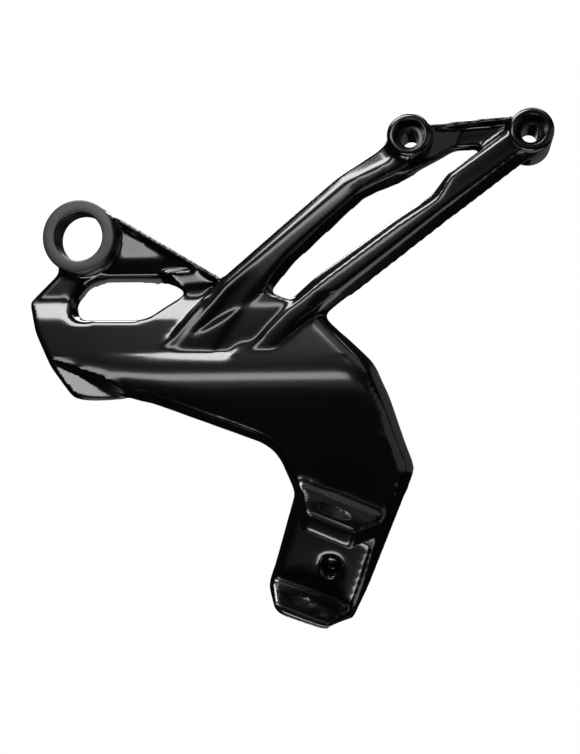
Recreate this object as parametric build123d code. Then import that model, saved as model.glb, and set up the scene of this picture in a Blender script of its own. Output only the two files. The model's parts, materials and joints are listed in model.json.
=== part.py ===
from build123d import *
from math import cos, radians, sin, tan
import os

# Footrest hanger for a motorcycle: one aluminium casting. A bored ring at the upper left,
# a webbed body with a lightening window, two arms that rise to two bolt bosses, and a leg
# that ends in a two-eared fork for the folding footrest.
# Frame: origin in the middle of the ring's bore, X towards the bosses, Z up, and the
# outboard side, the one that shows on the motorcycle, faces -Y. Millimetres.

# Ring
ring_bore_d = 24.6
ring_outer_d = 37.0
ring_width = 15.0
ring_edge = 0.8

# Planes that the whole casting shares
back_y = ring_width / 2
draft = 15.0

# Bosses that the hanger is bolted up by
boss_a_x = 166.2
boss_a_z = 45.6
boss_a_d = 21.6
boss_a_front_y = -13.0
boss_b_x = 225.0
boss_b_z = 47.4
boss_b_d = 22.2
boss_b_front_y = -8.5
seat_y = 23.5
bolt_hole_d = 9.0
bolt_head_d = 15.0
bolt_head_depth = 8.5
boss_edge = 0.8
boss_front_r = 2.2

# Front of the body, a profile that runs straight across it
neck_front_y = 1.0
roll_top_z = -31.0
roll_foot_z = -41.5
roll_depth = 4.6
face_slope = 16.0
bend_z = -73.0
bend_r = 50.0
leg_slope = 3.5
neck_fillet = 3.0
roll_fillet = 6.0

# Recess above the step line, running out to nothing at its left end
step_z = -61.2
step_left_x = 9.0
step_turn_x = 76.5
step_right_x = 101.0
step_right_z = -39.5
step_turn_r = 2.0
recess_lean = 1.1

# Middle of the footrest fork
fork_x = 120.3
fork_y = -17.0
fork_z = -161.7

# Body and leg outline at the back face
neck_top = [(12.0, -8.0), (-13.0, -8.0)]
neck_foot = (14.0, -30.0)
body_top = [(104.0, -32.0), (72.0, -22.0)]
body_left = [(-14.5, -17.0), (-29.4, -31.6), (-25.8, -48.4), (-18.0, -65.2)]
belly = (98.0, -106.6)
belly_r = 22.0
leg_left_top = (107.6, -128.5)
leg_left_foot = (fork_x - 28.3, fork_z - 22.3)
leg_left_end = (fork_x - 31.3, fork_z - 53.3)
leg_right_foot = (fork_x + 7.1, fork_z - 53.3)
hip = (166.9, -116.5)
hip_r = 9.0
shoulder = (149.3, -64.0)
shoulder_r = 22.0
arm_b_notch = (123.6, -40.4)

# Lip at the lower left corner, a facet that falls away below the body's face
lip_foot = [(-5.4, -81.9), (27.0, -81.9), (44.0, -87.5), (40.0, -62.0)]
lip_point = (-3.5, -5.0, -67.1)
lip_facing = (0.22, -1.0, -0.50)
lip_corner_r = 4.0

# Footrest fork
pin_lean_side = 22.1
pin_lean_out = 14.0
fork_gap = 36.5
upper_ear = 10.5
lower_ear = 6.5
upper_ear_reach = 16.0
lower_ear_reach = 13.5
floor_reach = 10.5
fork_root_r = 2.5
ear_root_r = 7.0
ear_edge_r = 1.2
foot_lean_side = 18.0
foot_lean_out = 7.0
foot_r = 6.0
pin_d = 8.5
pin_head_d = 14.0
pin_head_depth = 3.5
detent_d = 10.0
detent_depth = 8.0
detent_side = 7.0
detent_up = -2.0

# Arms, from the root to the boss: upper left and lower right edge at the back face, depth of
# the upper edge and of the front face, and width of the facet between them
arm_a_stations = [
    ((44.5, -55.5), (64.0, -74.0), -4.5, -7.5, 4.0),
    ((71.6, -21.8), (87.0, -36.5), -5.0, -8.0, 4.5),
    ((130.4, 28.6), (143.8, 15.2), -4.5, -8.0, 5.5),
    ((boss_a_x - 16.2, boss_a_z - 4.2), (boss_a_x - 4.2, boss_a_z - 19.8), -3.5, -9.8, 9.0),
    ((boss_a_x - 13.0, boss_a_z - 1.4), (boss_a_x + 3.2, boss_a_z - 15.4), -3.5, -10.6, 9.0),
    ((boss_a_x - 10.6, boss_a_z + 0.7), (boss_a_x + 5.4, boss_a_z - 13.0), -1.8, -8.6, 9.0),
    ((boss_a_x - 5.2, boss_a_z + 5.4), (boss_a_x + 6.8, boss_a_z - 10.1), -1.8, -8.6, 9.0),
]
arm_a_inset = 3.0
arm_b_stations = [
    ((80.5, -59.0), (92.0, -71.0), -4.0, -8.3, 3.0),
    ((103.0, -35.0), (113.6, -48.2), -3.0, -8.5, 3.6),
    ((177.0, 19.0), (186.0, 7.2), -3.0, -8.5, 3.8),
    ((184.0, 28.2), (194.8, 13.6), -5.0, -8.5, 2.4),
    ((boss_b_x - 8.0, boss_b_z + 4.1), (boss_b_x + 2.0, boss_b_z - 9.8), -6.0, -8.5, 2.4),
]
arm_b_inset = 4.2
arm_edge_inset = 0.8
arm_edge_r = 0.7
arm_face_r = 1.6

# Ground between the roots of the arms
root_outline = [
    (71.6, -22.2), (58.0, -38.0), (43.0, -56.0), (45.0, -63.0), (79.0, -63.0),
    (101.0, -40.0), (108.0, -33.0), (104.0, -32.2), (98.0, -29.6), (94.5, -26.0),
]
root_front_y = -7.2
root_roll_z = -36.5
root_roll_slope = 32.0
root_roll_r = 9.0

# Trough where arm A's face runs down into the ground, shallower towards the arm
trough_outline = [(62.0, -47.8), (78.6, -38.8), (93.5, -30.1), (92.5, -14.8), (76.6, -30.9), (64.1, -45.8)]
trough_point = (62.0, -6.3, -47.8)
trough_facing = (-0.03, -1.0, -0.028)
trough_draft = 35.0

# Triangular web between the ring and arm A, with a rim along its top and a ridge low down
web_top_left = (9.0, 16.2)
web_top_right = (73.0, -22.0)
web_outline = [(0.0, 0.0), web_top_left, web_top_right, (62.0, -34.0), (45.0, -30.0), (-6.0, -26.0)]
web_ridge_y = 0.5
web_ridge_z = -11.0
web_floor_slope = 4.0
web_foot_slope = 8.0
web_rim_y = -2.5
web_rim = 2.4
web_end_outline = [(41.0, -18.2), (60.5, -16.8), (68.0, -24.0), (58.0, -29.0), (50.0, -25.0)]
web_end_point = (50.0, -2.2, -17.5)
web_end_facing = (0.05, -1.0, -0.50)
window_front = [
    (-9.0, -31.0), (-7.5, -39.0), (-3.0, -42.6), (29.5, -42.8), (36.0, -41.0), (43.5, -35.5),
    (55.0, -28.3), (46.0, -18.0), (40.0, -13.4), (9.0, -13.2), (-2.0, -19.5),
]
window_back = [
    (-2.5, -34.0), (-2.0, -38.5), (0.0, -40.8), (29.0, -41.0), (35.0, -39.5), (42.5, -34.5),
    (52.5, -28.0), (46.0, -25.0), (41.0, -24.0), (11.0, -23.6), (4.0, -26.0),
]
window_front_y = -6.0
window_past = 1.0
window_left_r = 2.5

# Bar between the bosses
bar_foot = [(188.4, 40.9), (181.0, 36.8), (boss_a_x - 3.2, boss_a_z - 18.2)]
bar_outline = [
    (boss_a_x + 3.8, boss_a_z + 6.4), (boss_b_x - 7.0, boss_b_z + 8.4), (boss_b_x - 7.0, boss_b_z - 3.4),
    (boss_b_x - 21.4, boss_b_z - 6.4),
] + bar_foot
bar_front_y = -1.5
bar_rim_y = -6.0
bar_rim = 2.6
bar_gusset = [(boss_a_x + 5.8, boss_a_z + 5.9), (195.7, 51.5)] + bar_foot
bar_gusset_point = (190.0, -1.6, 45.0)
bar_gusset_facing = (0.22, -1.0, -0.10)

# Hollows in the back of the casting
skin = 5.5
core_draft = 4.0
core_outline = [
    (-12.0, -52.0), (-14.0, -58.0), (-10.0, -63.0), (20.0, -73.5), (74.0, -92.5), (103.0, -102.0),
    (112.0, -112.0), (114.0, -121.0), (152.0, -126.0), (158.0, -116.0), (152.0, -92.0), (141.0, -69.0),
    (121.0, -51.0), (60.0, -51.0),
]
core_corner_r = 4.0
rib_pitch = 22.0
rib_thickness = 3.0
rib_first_x = 8.0
rib_count = 7
channel_wall = 4.5
channel_skin = 6.5

# Reach of cutting tools past the metal
beyond = ring_outer_d + seat_y


def depth_plane(y):
    """A plane square to Y at that depth; extrusions from it run outboard."""
    return Plane(origin=(0, y, 0), x_dir=(1, 0, 0), z_dir=(0, -1, 0))


def shape_of(corners, radius=0.0):
    """A closed outline with the same rounding, or a list of roundings, at its corners."""
    return make_face(FilletPolyline(*corners, radius=radius, close=True))


def slab(corners, y_from, y_to, radius=0.0, taper=0.0):
    """An outline pulled outboard from one depth to another."""
    return extrude(depth_plane(y_from) * shape_of(corners, radius), y_from - y_to, taper=taper)


def post(x, z, diameter, y_from, y_to):
    """A round bar along Y."""
    return extrude(depth_plane(y_from) * Pos(x, z) * Circle(diameter / 2), y_from - y_to)


def rise(slope, length):
    return length * tan(radians(slope))


def inboard_of(point, facing):
    """Everything behind a flat facet that faces outboard."""
    return Plane(origin=point, z_dir=facing) * Pos(0, 0, -2 * beyond) * Box(8 * beyond, 8 * beyond, 4 * beyond)


def along_x(corners, radii):
    """A section, its corners given by depth and height, run right across the casting."""
    start = Plane(origin=(-beyond, 0, 0), x_dir=(0, 1, 0), z_dir=(1, 0, 0))
    return extrude(start * shape_of(corners, radii), boss_b_x + beyond)


def front_profile(turn=0.0):
    """Everything inboard of the body's front surface."""
    roll_foot_y = neck_front_y - roll_depth
    bend_y = roll_foot_y - rise(face_slope, roll_foot_z - bend_z)
    foot_z = leg_left_end[1] - beyond
    foot_y = bend_y + rise(leg_slope, bend_z - foot_z)
    corners = [
        (neck_front_y, beyond), (neck_front_y, roll_top_z), (roll_foot_y, roll_foot_z),
        (bend_y, bend_z), (foot_y, foot_z), (beyond, foot_z), (beyond, beyond),
    ]
    profile = along_x(corners, [0, neck_fillet, roll_fillet, bend_r, 0, 0, 0])
    if turn:
        profile = profile.rotate(Axis((step_left_x, back_y, 0), (0, 0, 1)), turn)
    return profile


def fork_plane(lean_side=pin_lean_side, lean_out=pin_lean_out):
    """Middle of the fork on the pin's axis: Z along the pin, Y inboard, X across the leg."""
    side = radians(lean_side)
    out = radians(lean_out)
    along_pin = (sin(side) * cos(out), -sin(out), cos(side) * cos(out))
    across = (cos(side), 0, -sin(side))
    return Plane(origin=(fork_x, fork_y, fork_z), x_dir=across, z_dir=along_pin)


def fork_block(y_low, y_high, z_low, z_high, radii=(0, 0, 0, 0)):
    """A block right across the leg in the fork's own frame, its long edges rounded."""
    corners = [(y_low, z_low), (y_high, z_low), (y_high, z_high), (y_low, z_high)]
    section = Plane.YZ * shape_of(corners, list(radii))
    return fork_plane() * extrude(section, beyond, both=True)


def front_with_ears():
    """The front surface with the two ears standing out of the leg, and a fillet above them."""
    top_z = fork_gap / 2 + upper_ear
    foot_z = fork_gap / 2 + lower_ear
    upper = fork_block(-upper_ear_reach, beyond, 0, top_z, (0, 0, 0, ear_edge_r))
    lower = fork_block(-lower_ear_reach, beyond, -foot_z, 0)
    front = front_profile() + upper + lower
    corner = fork_plane() * Pos(0, floor_reach, top_z)
    root = front.edges().filter_by(GeomType.LINE).sort_by_distance(corner.position)[0]
    return front.fillet(ear_root_r, [root])


def mould():
    """Body and leg as one drafted block, wider at the back than in front."""
    corners = body_left + [
        belly, leg_left_top, leg_left_foot, leg_left_end, leg_right_foot, hip, shoulder, arm_b_notch,
    ] + body_top
    radii = [0] * len(corners)
    radii[corners.index(belly)] = belly_r
    radii[corners.index(shoulder)] = shoulder_r
    height = back_y - fork_y + upper_ear_reach + rise(pin_lean_out, fork_gap)
    block = slab(corners, back_y, back_y - height, radii, draft)
    middle = (hip[0] - rise(draft, height / 2), back_y - height / 2, hip[1])
    block = block.fillet(hip_r, [block.edges().sort_by_distance(middle)[0]])
    under = fork_plane(foot_lean_side, foot_lean_out) * Pos(0, 0, -fork_gap / 2 - lower_ear)
    block -= under * Pos(0, 0, -2 * beyond) * Box(8 * beyond, 8 * beyond, 4 * beyond)
    sole = block.faces().sort_by_distance(under.position)[0]
    block = block.fillet(foot_r, [sole.edges().sort_by(Axis.X)[0]])
    neck = neck_top + body_left[:2] + [neck_foot]
    return block + slab(neck, back_y, neck_front_y, taper=draft)


def lip():
    """Small facet below the body's lower left edge."""
    corners = body_left[2:] + lip_foot
    radii = [0] * len(corners)
    radii[corners.index(lip_foot[0])] = lip_corner_r
    plate = slab(corners, back_y, lip_point[1] - back_y, radii, draft)
    return plate & inboard_of(lip_point, lip_facing) & front_profile()


def ring():
    body = post(0, 0, ring_outer_d, back_y, -back_y)
    return chamfer(body.edges().filter_by(GeomType.CIRCLE), ring_edge)


def across_arm(upper, lower):
    """The plane of a section through an arm, X from its upper to its lower edge, and its width."""
    across = Vector(lower[0] - upper[0], 0, lower[1] - upper[1])
    along = across.cross(Vector(0, -1, 0))
    return Plane(origin=(upper[0], 0, upper[1]), x_dir=across, z_dir=along), across.length


def arm(stations, inset):
    """A strut lofted through its sections, each one flat on the back face."""
    sections = []
    for upper, lower, edge_y, front_y, facet in stations:
        plane, width = across_arm(upper, lower)
        corners = [
            (0, -back_y), (arm_edge_inset, -edge_y), (arm_edge_inset + facet, -front_y),
            (width - inset, -front_y), (width, -back_y),
        ]
        sections.append(plane * shape_of(corners, [0, arm_edge_r, arm_edge_r, arm_face_r, 0]))
    return loft(sections, ruled=True)


def web():
    """Triangular wall with a rim along its top edge, a ridge low down and a facet at its right end."""
    along = Vector(*web_top_right) - Vector(*web_top_left)
    inward = Vector(along.Y, -along.X).normalized() * web_rim
    rim = [
        web_top_left, web_top_right,
        (web_top_right[0] + inward.X, web_top_right[1] + inward.Y),
        (web_top_left[0] + inward.X, web_top_left[1] + inward.Y),
    ]
    profile = [
        (web_ridge_y + rise(web_floor_slope, beyond - web_ridge_z), beyond), (web_ridge_y, web_ridge_z),
        (web_ridge_y + rise(web_foot_slope, beyond), web_ridge_z - beyond), (beyond, -beyond), (beyond, beyond),
    ]
    wall = slab(web_outline, back_y, -beyond) & along_x(profile, 0)
    end = slab(web_end_outline, back_y, -beyond) & inboard_of(web_end_point, web_end_facing)
    return wall + slab(rim, back_y, web_rim_y) + end


def window():
    """Lightening window under the web, its walls sloping in towards the back."""
    radii = [window_left_r, window_left_r, window_left_r] + [0] * (len(window_front) - 3)
    front = depth_plane(window_front_y) * shape_of(window_front, radii)
    back = depth_plane(back_y + window_past) * shape_of(window_back, [r / 4 for r in radii])
    return loft([back, front], ruled=True)


def root():
    """Ground between the roots of the arms, rolled over towards the slot."""
    profile = [
        (root_front_y, -beyond), (root_front_y, root_roll_z),
        (root_front_y + rise(root_roll_slope, beyond + root_roll_z), beyond), (beyond, beyond), (beyond, -beyond),
    ]
    return slab(root_outline, back_y, -beyond) & along_x(profile, [0, root_roll_r, 0, 0, 0])


def trough():
    """What is cut away for the trough at the foot of arm A."""
    cut = slab(trough_outline, trough_point[1], 2 * trough_point[1], taper=-trough_draft)
    return cut - inboard_of(trough_point, trough_facing)


def boss(x, z, diameter, front_y):
    body = post(x, z, diameter, seat_y, front_y)
    rims = body.edges().filter_by(GeomType.CIRCLE).sort_by(Axis.Y)
    return chamfer(rims[-1], boss_edge).fillet(boss_front_r, [rims[0]])


def boss_holes(x, z, front_y):
    head = post(x, z, bolt_head_d, front_y + bolt_head_depth, front_y - beyond)
    return head + post(x, z, bolt_hole_d, seat_y + beyond, front_y)


def bar():
    """Strut between the two bosses, thin, with a rim along its upper edge."""
    left, right = bar_outline[:2]
    rim = [left, right, (right[0], right[1] - bar_rim), (left[0], left[1] - bar_rim)]
    gusset = slab(bar_gusset, back_y, bar_rim_y) & inboard_of(bar_gusset_point, bar_gusset_facing)
    return slab(bar_outline, back_y, bar_front_y) + slab(rim, back_y, bar_rim_y) + gusset


def recess():
    """Shallow step across the body, which fades out at its left end."""
    outline = [
        (step_left_x, step_z), (step_turn_x, step_z), (step_right_x, step_right_z),
        (step_right_x, body_left[0][1]), (step_left_x, body_left[0][1]),
    ]
    return slab(outline, back_y, -beyond, [0, step_turn_r, 0, 0, 0]) - front_profile(recess_lean)


def core():
    """Pockets in the back of the body, parted by ribs, that leave an even skin in front."""
    hollow = slab(core_outline, back_y, -back_y - skin, core_corner_r, core_draft)
    hollow &= Pos(0, skin, 0) * front_profile()
    for rib in range(rib_count):
        x = rib_first_x + rib * rib_pitch
        hollow -= Pos(x, 0, 0) * Box(rib_thickness, 4 * beyond, 8 * beyond)
    return hollow


def channel(stations):
    """Groove along the back of an arm."""
    sections = []
    for upper, lower, edge_y, front_y, facet in stations:
        plane, width = across_arm(upper, lower)
        near = channel_wall
        far = width - channel_wall
        deep = -front_y - channel_skin
        sections.append(plane * shape_of([(near, -back_y), (far, -back_y), (far, deep), (near, deep)]))
    return loft(sections, ruled=True)


def fork_cuts():
    """Gap for the footrest, the pin's bores and the blind hole for the detent spring."""
    half = fork_gap / 2
    gap = fork_block(-beyond, floor_reach, -half, half, (0, fork_root_r, fork_root_r, 0))
    frame = fork_plane()
    pin = frame * Cylinder(pin_d / 2, 2 * beyond)
    head = frame * Pos(0, 0, half + upper_ear - pin_head_depth + beyond / 2) * Cylinder(pin_head_d / 2, beyond)
    spot = Pos(detent_side, floor_reach, detent_up) * Rot(90, 0, 0)
    detent = frame * spot * Cylinder(detent_d / 2, 2 * detent_depth)
    return gap + pin + head + detent


def build():
    body = mould() & front_with_ears()
    body -= recess()
    body += lip()
    body += web()
    body += root()
    body += arm(arm_a_stations, arm_a_inset)
    body += arm(arm_b_stations, arm_b_inset)
    body -= trough()
    body -= core()
    body -= channel(arm_a_stations[1:3])
    body -= channel(arm_b_stations[1:3])
    body += bar()
    body += boss(boss_a_x, boss_a_z, boss_a_d, boss_a_front_y)
    body += boss(boss_b_x, boss_b_z, boss_b_d, boss_b_front_y)
    body -= window()
    body += ring()
    body -= post(0, 0, ring_bore_d, beyond, -beyond)
    body -= boss_holes(boss_a_x, boss_a_z, boss_a_front_y)
    body -= boss_holes(boss_b_x, boss_b_z, boss_b_front_y)
    body -= fork_cuts()
    return body


if __name__ == "__main__":
    os.makedirs("parts", exist_ok=True)
    export_step(build(), "parts/hanger.step")
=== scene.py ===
import json
import math

import bmesh
import bpy
from mathutils import Matrix, Vector

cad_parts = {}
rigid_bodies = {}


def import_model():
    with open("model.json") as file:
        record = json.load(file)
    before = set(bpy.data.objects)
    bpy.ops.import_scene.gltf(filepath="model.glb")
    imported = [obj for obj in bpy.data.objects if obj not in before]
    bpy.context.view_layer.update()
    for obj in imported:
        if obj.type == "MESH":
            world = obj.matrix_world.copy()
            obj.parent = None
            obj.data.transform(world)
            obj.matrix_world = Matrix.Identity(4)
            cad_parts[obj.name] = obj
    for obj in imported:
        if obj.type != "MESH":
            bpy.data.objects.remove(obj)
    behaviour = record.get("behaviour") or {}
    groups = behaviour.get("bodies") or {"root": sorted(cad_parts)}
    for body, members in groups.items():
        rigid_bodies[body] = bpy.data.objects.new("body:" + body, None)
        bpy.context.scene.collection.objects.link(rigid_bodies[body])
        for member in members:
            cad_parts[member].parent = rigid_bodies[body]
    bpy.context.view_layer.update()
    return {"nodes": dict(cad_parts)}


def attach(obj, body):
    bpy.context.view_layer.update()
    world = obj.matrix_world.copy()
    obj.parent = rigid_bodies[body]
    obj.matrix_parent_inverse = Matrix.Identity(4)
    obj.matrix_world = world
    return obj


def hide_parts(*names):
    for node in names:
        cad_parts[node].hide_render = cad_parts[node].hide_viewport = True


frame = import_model()
scene = bpy.context.scene
scene.view_settings.view_transform = "Standard"

# Camera
# It stands 0.65 m in front of the outboard side, a little right of the middle, and looks
# slightly left and up, as in the photograph. The lens is a short telephoto.
PHOTO_LONG_SIDE = 754
FOCAL_PIXELS = 1340.0
CAMERA_AT = (0.1901, -0.6570, -0.1102)
LOOKS_UP_DEGREES = 3.374
LOOKS_LEFT_DEGREES = 7.26
camera_data = bpy.data.cameras.new("camera")
camera_data.sensor_width = 36.0
camera_data.lens = camera_data.sensor_width * FOCAL_PIXELS / PHOTO_LONG_SIDE
camera_data.clip_start = 0.01
camera = bpy.data.objects.new("camera", camera_data)
scene.collection.objects.link(camera)
camera.location = CAMERA_AT
camera.rotation_euler = (math.radians(90 + LOOKS_UP_DEGREES), 0, math.radians(LOOKS_LEFT_DEGREES))
scene.camera = camera

# Studio
# The photograph is a dark-field product shot: a black tent all round, a big softbox above, a
# strip light in front, a softbox below, dim panels beside it, and white behind the hanger.
world = bpy.data.worlds.new("white_beyond_the_tent")
scene.world = world
world.use_nodes = True
world.node_tree.nodes.clear()


def add_node(material, kind, inputs=None, **settings):
    """Adds one node with its settings; an input is a value or another node's output."""
    tree = material.node_tree
    node = tree.nodes.new(kind)
    for name, value in settings.items():
        setattr(node, name, value)
    for name, value in (inputs or {}).items():
        if isinstance(value, bpy.types.NodeSocket):
            tree.links.new(value, node.inputs[name])
        else:
            node.inputs[name].default_value = value
    return node


beyond_white = add_node(world, "ShaderNodeBackground", {"Color": (1, 1, 1, 1), "Strength": 1.0})
add_node(world, "ShaderNodeOutputWorld", {"Surface": beyond_white.outputs[0]})

# The lamps aim at the hanger's middle.
AIM = Vector((0.10, -0.01, -0.07))


def direction(azimuth, elevation):
    """Unit vector from the hanger; azimuth 0 is in front of it and 90 on its right."""
    az = math.radians(azimuth)
    el = math.radians(elevation)
    return Vector((math.sin(az) * math.cos(el), -math.cos(az) * math.cos(el), math.sin(el)))


def softbox(name, azimuth, elevation, distance, width, height, radiance, roll=0.0):
    """An area lamp that faces the hanger, as bright as its radiance; roll lifts its right end."""
    away = direction(azimuth, elevation)
    data = bpy.data.lights.new(name, "AREA")
    data.shape = "RECTANGLE"
    data.size = width
    data.size_y = height
    data.energy = radiance * math.pi * width * height
    lamp = bpy.data.objects.new(name, data)
    scene.collection.objects.link(lamp)
    lamp.location = AIM + away * distance
    turn = Matrix.Rotation(math.radians(roll), 3, "Z")
    lamp.rotation_euler = (away.to_track_quat("Z", "Y").to_matrix() @ turn).to_euler()


softbox("softbox_above", -30, 58, 1.00, 0.74, 0.44, 12.0)
softbox("softbox_skirt", -18, 44.5, 1.00, 0.70, 0.09, 2.0)
softbox("panel_overhead", 150, 80, 1.00, 0.90, 0.50, 0.7)
softbox("panel_above_right", 40, 50, 1.00, 0.60, 0.50, 0.5)
softbox("panel_right", 70, 5, 1.00, 2.20, 0.60, 0.36)
softbox("panel_behind_right", 150, 6, 1.00, 0.70, 0.50, 0.07)
softbox("panel_in_front", 0, 10.5, 1.20, 0.60, 0.16, 0.2)
softbox("strip_in_front", -14.6, 17.9, 1.20, 0.54, 0.17, 5.5, roll=9.0)
softbox("softbox_below", -8, -49.5, 1.00, 0.66, 0.24, 7.0)
softbox("lamp_behind_left", 190, 45, 1.00, 0.50, 0.40, 6.0)
softbox("lamp_behind_right", 145, 62, 1.00, 0.50, 0.30, 4.0)


def linear(hex_colour, alpha=1.0):
    """An sRGB hex colour as linear red, green, blue and alpha."""
    channels = [int(hex_colour[i:i + 2], 16) / 255 for i in (1, 3, 5)]
    channels = [c / 12.92 if c <= 0.04045 else ((c + 0.055) / 1.055) ** 2.4 for c in channels]
    return (*channels, alpha)


def new_material(name):
    """A material that has no nodes yet."""
    material = bpy.data.materials.new(name)
    material.use_nodes = True
    material.node_tree.nodes.clear()
    return material


def place(name, shape):
    """Puts a finished shape into the scene as an object of that name."""
    mesh = bpy.data.meshes.new(name)
    shape.to_mesh(mesh)
    shape.free()
    body = bpy.data.objects.new(name, mesh)
    scene.collection.objects.link(body)
    return body


# The tent's cloth is black felt, so it gives the coat nothing to mirror. A small opening
# behind the hanger lets the edges that turn away from the camera mirror the white beyond it.
tent_cloth = new_material("black_felt")
felt = add_node(tent_cloth, "ShaderNodeBsdfDiffuse", {"Color": linear("#26262a")})
add_node(tent_cloth, "ShaderNodeOutputMaterial", {"Surface": felt.outputs[0]})
TENT_RADIUS = 2.4
OPENING_DEGREES = 3.0
tent_shape = bmesh.new()
bmesh.ops.create_icosphere(tent_shape, subdivisions=4, radius=TENT_RADIUS)
sight = (AIM - Vector(camera.location)).normalized()
open_faces = [face for face in tent_shape.faces
              if face.calc_center_median().angle(sight) < math.radians(OPENING_DEGREES)]
bmesh.ops.delete(tent_shape, geom=open_faces, context="FACES")
bmesh.ops.reverse_faces(tent_shape, faces=tent_shape.faces)
bmesh.ops.translate(tent_shape, verts=tent_shape.verts, vec=AIM)
tent = place("black_tent", tent_shape)
tent.data.materials.append(tent_cloth)
tent.visible_camera = False

# The floor is white paper. It keeps the hanger's shadow, and is white where it is seen.
FLOOR_AT = (0.35, 0.35, -0.70)
FLOOR_RADIUS = 0.60
FLOOR_WHITE_SHARE = 0.75
pale_floor = new_material("pale_floor")
floor_rays = add_node(pale_floor, "ShaderNodeLightPath")
floor_seen = add_node(pale_floor, "ShaderNodeMath", {
    0: floor_rays.outputs["Is Camera Ray"],
    1: floor_rays.outputs["Is Glossy Ray"]}, operation="MAXIMUM")
floor_share = add_node(pale_floor, "ShaderNodeMath", {
    0: floor_seen.outputs[0], 1: FLOOR_WHITE_SHARE}, operation="MULTIPLY")
floor_paper = add_node(pale_floor, "ShaderNodeBsdfDiffuse", {"Color": (0.8, 0.8, 0.8, 1)})
floor_glow = add_node(pale_floor, "ShaderNodeEmission", {"Color": (1, 1, 1, 1), "Strength": 1.0})
floor_mix = add_node(pale_floor, "ShaderNodeMixShader", {
    "Fac": floor_share.outputs[0], 1: floor_paper.outputs[0], 2: floor_glow.outputs[0]})
add_node(pale_floor, "ShaderNodeOutputMaterial", {"Surface": floor_mix.outputs[0]})
floor_shape = bmesh.new()
bmesh.ops.create_circle(floor_shape, cap_ends=True, segments=64, radius=FLOOR_RADIUS)
bmesh.ops.translate(floor_shape, verts=floor_shape.verts, vec=FLOOR_AT)
floor = place("floor", floor_shape)
floor.data.materials.append(pale_floor)

# Casting
# The hanger is one die-cast aluminium part, tumbled and then coated in satin black, so all
# its edges are soft. The cast form is taken from the solid and its edges are rounded over.
# The ring and the two bosses are bored out of it here, and are turned further down.
casting_mesh = frame["nodes"]["hanger"].data.copy()
casting_shape = bmesh.new()
casting_shape.from_mesh(casting_mesh)
MERGE_DISTANCE = 1e-6
bmesh.ops.remove_doubles(casting_shape, verts=casting_shape.verts, dist=MERGE_DISTANCE)
casting_shape.to_mesh(casting_mesh)
casting_shape.free()
casting = bpy.data.objects.new("hanger_casting", casting_mesh)
scene.collection.objects.link(casting)

RING_X, RING_Z = 0.0, 0.0
BOSS_A_X, BOSS_A_Z = 0.1662, 0.0456
BOSS_B_X, BOSS_B_Z = 0.2250, 0.0474
RING_DRILL = (RING_X, RING_Z, 0.0145)
BOSS_A_DRILL = (BOSS_A_X, BOSS_A_Z, 0.0093)
BOSS_B_DRILL = (BOSS_B_X, BOSS_B_Z, 0.0095)
DRILL_LENGTH = 0.12
ROUND_STEPS = 96
for x, z, radius in (RING_DRILL, BOSS_A_DRILL, BOSS_B_DRILL):
    drill_shape = bmesh.new()
    bmesh.ops.create_cone(drill_shape, cap_ends=True, segments=ROUND_STEPS,
                          radius1=radius, radius2=radius, depth=DRILL_LENGTH)
    bmesh.ops.rotate(drill_shape, verts=drill_shape.verts,
                     matrix=Matrix.Rotation(math.radians(90), 3, "X"))
    bmesh.ops.translate(drill_shape, verts=drill_shape.verts, vec=(x, 0, z))
    bore = casting.modifiers.new("bored_out", "BOOLEAN")
    bore.operation = "DIFFERENCE"
    bore.object = place("drill", drill_shape)

# An even skin lets the edges be rounded anywhere. It is as fine as 200,000 triangles allow.
# Its voxels are 1.05 mm wide.
SKIN_MM = 1.05
remesh = casting.modifiers.new("even_skin", "REMESH")
remesh.mode = "VOXEL"
remesh.voxel_size = SKIN_MM / 1000
remesh.use_smooth_shade = True
ease = casting.modifiers.new("tumbled_edges", "SMOOTH")
ease.factor = 0.5
ease.iterations = 7
graph = bpy.context.evaluated_depsgraph_get()
finished = bpy.data.meshes.new_from_object(casting.evaluated_get(graph))
casting.modifiers.clear()
casting.data = finished


# The outline is then eased onto the real one, as a pattern maker files a pattern.
def ease_side(start, end, outward, far, reach):
    """Moves the side between two points (x, z) outward by far mm, fading out over reach mm."""
    run = Vector(end) - Vector(start)
    out = Vector(outward).normalized()
    for vertex in finished.vertices:
        past = Vector((vertex.co.x * 1000, vertex.co.z * 1000)) - Vector(start)
        share = past.dot(run) / run.length_squared
        off = abs(past.dot(out))
        if 0 < share < 1 and off < reach:
            fade = min(1.0, 4 * share, 4 * (1 - share)) * min(1.0, 1.5 * (1 - off / reach))
            step = out * far * fade * fade * (3 - 2 * fade) / 1000
            vertex.co += Vector((step.x, 0, step.y))


ARM_A_UNDERSIDE = ((94.0, -30.0), (165.0, 27.0))
ARM_B_TOP = ((103.0, -34.0), (177.0, 18.0))
LEG_BACK = ((151.0, -68.0), (171.0, -128.0))
LEG_BACK_LOW = ((172.5, -101.0), (137.0, -194.0))
FOOT = ((90.0, -166.0), (133.0, -199.0))
LIP_BOTTOM = ((-6.0, -80.5), (38.0, -81.0))
ease_side(*ARM_A_UNDERSIDE, (0.62, -0.79), -2.7, 13.0)
ease_side(*ARM_B_TOP, (-0.58, 0.82), 1.3, 8.0)
ease_side(*LEG_BACK, (0.97, 0.24), 1.3, 12.0)
ease_side(*LEG_BACK_LOW, (0.94, -0.33), 1.2, 12.0)
ease_side(*FOOT, (-0.61, -0.79), 1.8, 10.0)
ease_side(*LIP_BOTTOM, (0.0, -1.0), 1.2, 18.0)

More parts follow.
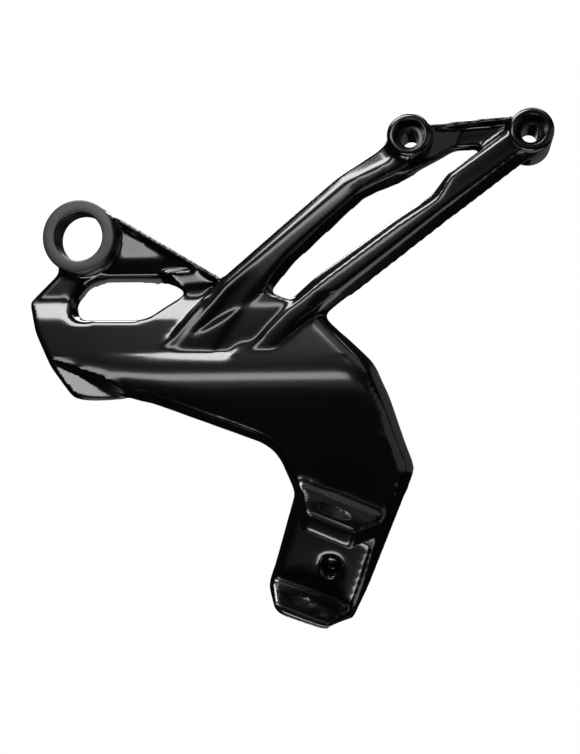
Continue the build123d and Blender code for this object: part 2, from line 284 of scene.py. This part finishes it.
# Some places are rounder than the tumbling makes them: the side walls, the rim of the body,
# hip and leg, the front's shallow creases and its long bend, the fork and the window's left
# end. Each has its smoothing steps and says which vertices it takes, by place in mm and normal.
ROUNDER = {
    "sides": (24, lambda p, n: abs(n.y) < 0.75 and p.z > -130),
    "rim": (14, lambda p, n: p.x < 118 and -125 < p.z < -75),
    "hip": (50, lambda p, n: p.x > 118 and -125 < p.z < -30),
    "front": (5, lambda p, n: n.y < -0.8 and n.z > -0.3),
    "bend": (90, lambda p, n: n.y < -0.8 and n.z > -0.2 and -100 < p.z < -60.5),
    "fork": (24, lambda p, n: p.z < -128),
    "window_end": (25, lambda p, n: -10 < p.x < 6 and -44 < p.z < -22)}
for name, (steps, chosen) in ROUNDER.items():
    group = casting.vertex_groups.new(name=name)
    taken = [v.index for v in finished.vertices if chosen(v.co * 1000, v.normal)]
    group.add(taken, 1.0, "REPLACE")
    blend = casting.modifiers.new("soft_" + name, "SMOOTH")
    blend.factor = 0.5
    blend.iterations = steps
    blend.vertex_group = name
graph = bpy.context.evaluated_depsgraph_get()
finished = bpy.data.meshes.new_from_object(casting.evaluated_get(graph))
casting.modifiers.clear()
casting.vertex_groups.clear()
casting.data = finished
for old in [o for o in bpy.data.objects if o.name.startswith("drill")]:
    bpy.data.objects.remove(old)
for polygon in finished.polygons:
    polygon.use_smooth = True


def black_coat(name, grain_mm, grain_strength, gloss):
    """A black coat with a fine grain that wide; gloss holds what sets its shine."""
    material = new_material(name)
    where = add_node(material, "ShaderNodeTexCoord")
    grain = add_node(material, "ShaderNodeTexNoise", {
        "Vector": where.outputs["Object"], "Scale": 1000 / grain_mm,
        "Detail": 2.0, "Roughness": 0.5})
    bump = add_node(material, "ShaderNodeBump", {
        "Height": grain.outputs["Fac"], "Strength": grain_strength, "Distance": 0.00005})
    skin = add_node(material, "ShaderNodeBsdfPrincipled", {
        "Base Color": linear("#070708"), "IOR": 1.5,
        "Normal": bump.outputs[0], "Coat Normal": bump.outputs[0], **gloss})
    add_node(material, "ShaderNodeOutputMaterial", {"Surface": skin.outputs[0]})
    return material


# Satin black powder coat, baked on the cast skin: nearly black, with an even soft gloss, so
# the form shows in what it mirrors. Its orange peel is drawn 0.8 mm wide, coarser than real.
CAST_GRAIN_MM = 0.8
coat = black_coat("satin_black_coat_on_cast_aluminium", CAST_GRAIN_MM, 0.02, {
    "Roughness": 0.22, "Specular IOR Level": 0.2, "Coat Weight": 1.0, "Coat Roughness": 0.12})
finished.materials.clear()
finished.materials.append(coat)

# The footrest pin's hole gets only a thin dull coat, so it shows dark, without gloss. It
# covers the counterbore for the pin's head and the hole below, measured from the fork's middle.
thin_coat = black_coat("matt_black_thin_coat_in_the_pin_hole", CAST_GRAIN_MM, 0.1, {
    "Roughness": 0.7, "Specular IOR Level": 0.2})
finished.materials.append(thin_coat)
PIN_MIDDLE = Vector((120.3, -17.0, -161.7))
PIN_AXIS = Vector((0.365049, -0.241922, 0.899007))
PIN_HEAD_FROM, PIN_HEAD_RADIUS, PIN_HOLE_RADIUS = 23.0, 7.3, 4.8
for polygon in finished.polygons:
    past = polygon.center * 1000 - PIN_MIDDLE
    along = past.dot(PIN_AXIS)
    radius = PIN_HEAD_RADIUS if along > PIN_HEAD_FROM else PIN_HOLE_RADIUS
    if (past - along * PIN_AXIS).length < radius:
        polygon.material_index = 1
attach(casting, "root")
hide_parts("hanger")

# Ring
# The ring takes a rubber bush. It is bored and faced on a lathe after casting and then coated
# with the rest, so its edges are crisper and its faces a little duller than the cast skin.
RING_SECTION = ((12.25, -7.55), (18.55, -7.55), (18.55, 7.55), (12.25, 7.55))
RING_EDGE = 0.8
SHARP_FROM_DEGREES = 35

# The same coat over fine tool marks: it spreads the light more, so it looks an even dark
# grey. The marks are drawn 0.5 mm wide, because real ones are too fine to show.
TURNED_GRAIN_MM = 0.5
turned_coat = black_coat("satin_black_coat_on_turned_aluminium", TURNED_GRAIN_MM, 0.1, {
    "Roughness": 0.34, "Specular IOR Level": 0.9})


def turned(name, material, x, z, section, softened):
    """A body turned about Y from (radius, y) corners in mm; softened rounds some of them."""
    shape = bmesh.new()
    corners = [shape.verts.new((x + radius / 1000, y / 1000, z)) for radius, y in section]
    outline = [shape.edges.new((corners[i - 1], corners[i])) for i in range(len(corners))]
    bmesh.ops.spin(shape, geom=corners + outline, cent=(x, 0, z), axis=(0, 1, 0),
                   angle=math.tau, steps=ROUND_STEPS, use_merge=True)
    for (radius, y), rounding in softened.items():
        rim = [edge for edge in shape.edges if all(
            abs(math.hypot(v.co.x - x, v.co.z - z) * 1000 - radius) < 0.01
            and abs(v.co.y * 1000 - y) < 0.01 for v in edge.verts)]
        bmesh.ops.bevel(shape, geom=rim, offset=rounding / 1000, segments=6, profile=0.5,
                        affect="EDGES", material=-1)
    bmesh.ops.remove_doubles(shape, verts=shape.verts, dist=MERGE_DISTANCE)
    bmesh.ops.recalc_face_normals(shape, faces=shape.faces)
    piece = place(name, shape)
    for polygon in piece.data.polygons:
        polygon.use_smooth = True
    piece.data.set_sharp_from_angle(angle=math.radians(SHARP_FROM_DEGREES))
    piece.data.materials.append(material)
    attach(piece, "root")


turned("ring_turned", turned_coat, RING_X, RING_Z, RING_SECTION,
       {corner: RING_EDGE for corner in RING_SECTION})

# Bosses
# Two bosses, cast with the arms and turned afterwards, take the M8 screws that hold the hanger
# to the frame. Each has a hole, a counterbore for the screw's head and a rounded front edge.
BOSS_BACK = 23.5
SCREW_HOLE_RADIUS = 4.5
COUNTERBORE_RADIUS = 7.45
FRONT_ROUNDING, BACK_ROUNDING, COUNTERBORE_ROUNDING, SEAT_ROUNDING = 2.2, 0.8, 0.5, 0.3


def boss(name, x, z, radius, front, seat):
    """A boss of that radius, with its front face and its screw's seat at those y in mm."""
    turned(name, coat, x, z, (
        (radius, front), (radius, BOSS_BACK), (SCREW_HOLE_RADIUS, BOSS_BACK),
        (SCREW_HOLE_RADIUS, seat), (COUNTERBORE_RADIUS, seat), (COUNTERBORE_RADIUS, front)), {
        (radius, front): FRONT_ROUNDING, (radius, BOSS_BACK): BACK_ROUNDING,
        (COUNTERBORE_RADIUS, front): COUNTERBORE_ROUNDING,
        (SCREW_HOLE_RADIUS, seat): SEAT_ROUNDING})


boss("boss_a_turned", BOSS_A_X, BOSS_A_Z, radius=10.85, front=-13.05, seat=-4.5)
boss("boss_b_turned", BOSS_B_X, BOSS_B_Z, radius=11.15, front=-8.55, seat=0.0)
